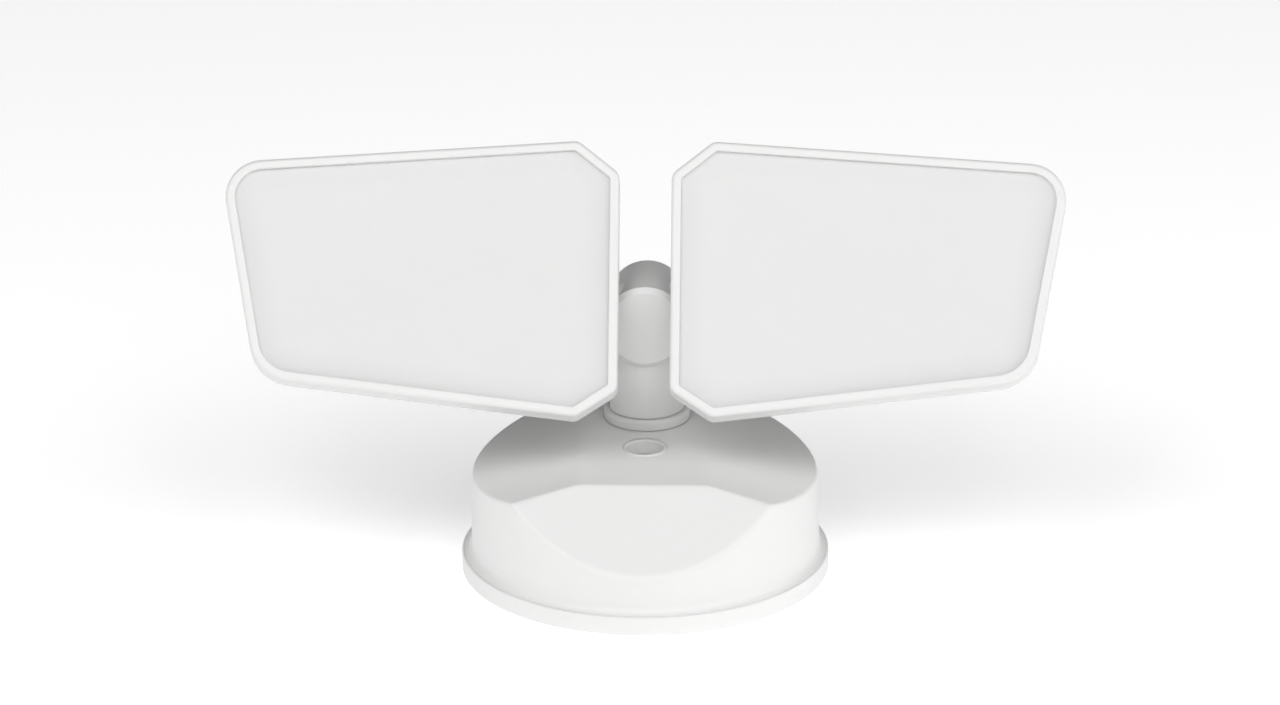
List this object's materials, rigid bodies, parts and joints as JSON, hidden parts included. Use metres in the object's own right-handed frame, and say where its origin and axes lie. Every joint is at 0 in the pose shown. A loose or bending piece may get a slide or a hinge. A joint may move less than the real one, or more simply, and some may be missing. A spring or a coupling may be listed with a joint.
{
  "type": "floodlight security camera",
  "caption": "Outdoor smart floodlight: flat opal lamp heads on tilting arms and a swivelling post, on a round canopy that covers a junction box.",
  "frame": {"origin": "centre of the canopy's mounting face, midway between the junction box screws", "axes": "+Z away from the mounting surface, -Y the side that the lamps face, +X to the right seen from the front"},
  "size_m": [0.2904, 0.127, 0.144],
  "materials": {
    "white_paint": "satin powder coat",
    "white_plastic": "fine satin moulding",
    "opal_lens": "satin opal diffuser",
    "rubber_seal": "matt",
    "zinc_steel": "bright zinc",
    "bar_steel": "galvanised",
    "green_screw": "green dyed zinc",
    "brass_clamp": "plain",
    "tray_plastic": "fine texture",
    "case_plastic": "fine texture",
    "circuit_board": "solder mask",
    "white_board": "white solder mask",
    "coil_parts": "varnished",
    "shield_can": "tinned",
    "chip_phosphor": "phosphor over silicone",
    "reflector_white": "gloss white",
    "thermal_pad": "soft silicone",
    "terminal_ivory": "fine texture"
  },
  "bodies": {
    "canopy": {"canopy_housing": "white_paint", "canopy_gasket": "rubber_seal", "mounting_bar": "bar_steel", "ground_screw": "green_screw", "canopy_bolt": "zinc_steel", "bolt_seal": "rubber_seal", "gear_tray": "tray_plastic", "tray_screws": "zinc_steel", "driver_case": "case_plastic", "driver_cover": "case_plastic", "driver_board": "circuit_board", "driver_parts": "coil_parts", "driver_screws": "zinc_steel", "radio_board": "circuit_board", "radio_shield": "shield_can", "radio_screws": "zinc_steel", "terminal_block": "terminal_ivory", "terminal_screws": "brass_clamp", "post_collar": "white_plastic", "collar_seal": "rubber_seal"},
    "post": {"post": "white_paint", "post_washer": "zinc_steel", "post_nut": "zinc_steel", "hub_cap": "white_plastic", "hub_seal": "rubber_seal"},
    "left_arm": {"left_arm": "white_paint", "left_arm_seal": "rubber_seal", "left_arm_nut": "zinc_steel"},
    "left_lamp": {"left_lamp_housing": "white_paint", "left_lamp_bezel": "white_plastic", "left_lens": "opal_lens", "left_lens_gasket": "rubber_seal", "left_led_board": "white_board", "left_led_chips": "chip_phosphor", "left_reflector": "reflector_white", "left_thermal_pad": "thermal_pad", "left_board_screws": "zinc_steel", "left_bracket": "white_paint", "left_bracket_screws": "zinc_steel", "left_pan_bolt": "zinc_steel", "left_pan_nut": "zinc_steel", "left_cable_gland": "rubber_seal"},
    "right_arm": {"right_arm": "white_paint", "right_arm_seal": "rubber_seal", "right_arm_nut": "zinc_steel"},
    "right_lamp": {"right_lamp_housing": "white_paint", "right_lamp_bezel": "white_plastic", "right_lens": "opal_lens", "right_lens_gasket": "rubber_seal", "right_led_board": "white_board", "right_led_chips": "chip_phosphor", "right_reflector": "reflector_white", "right_thermal_pad": "thermal_pad", "right_board_screws": "zinc_steel", "right_bracket": "white_paint", "right_bracket_screws": "zinc_steel", "right_pan_bolt": "zinc_steel", "right_pan_nut": "zinc_steel", "right_cable_gland": "rubber_seal"}
  },
  "joints": [
    {"name": "post_swivel", "type": "hinge", "parent": "canopy", "child": "post", "pos_m": [0, 0.0295, 0.0475], "axis": [0, 0, 1], "range_deg": [-90, 90]},
    {"name": "left_tilt", "type": "hinge", "parent": "post", "child": "left_arm", "pos_m": [-0.0166, 0.0295, 0.082], "axis": [-1, 0, 0], "range_deg": [-15, 55]},
    {"name": "left_pan", "type": "hinge", "parent": "left_arm", "child": "left_lamp", "pos_m": [-0.038, 0.0295, 0.082], "axis": [0, -0.5736, -0.8192], "range_deg": [0, 60]},
    {"name": "right_tilt", "type": "hinge", "parent": "post", "child": "right_arm", "pos_m": [0.0166, 0.0295, 0.082], "axis": [-1, 0, 0], "range_deg": [-15, 55]},
    {"name": "right_pan", "type": "hinge", "parent": "right_arm", "child": "right_lamp", "pos_m": [0.038, 0.0295, 0.082], "axis": [0, 0.5736, 0.8192], "range_deg": [0, 60]}
  ]
}
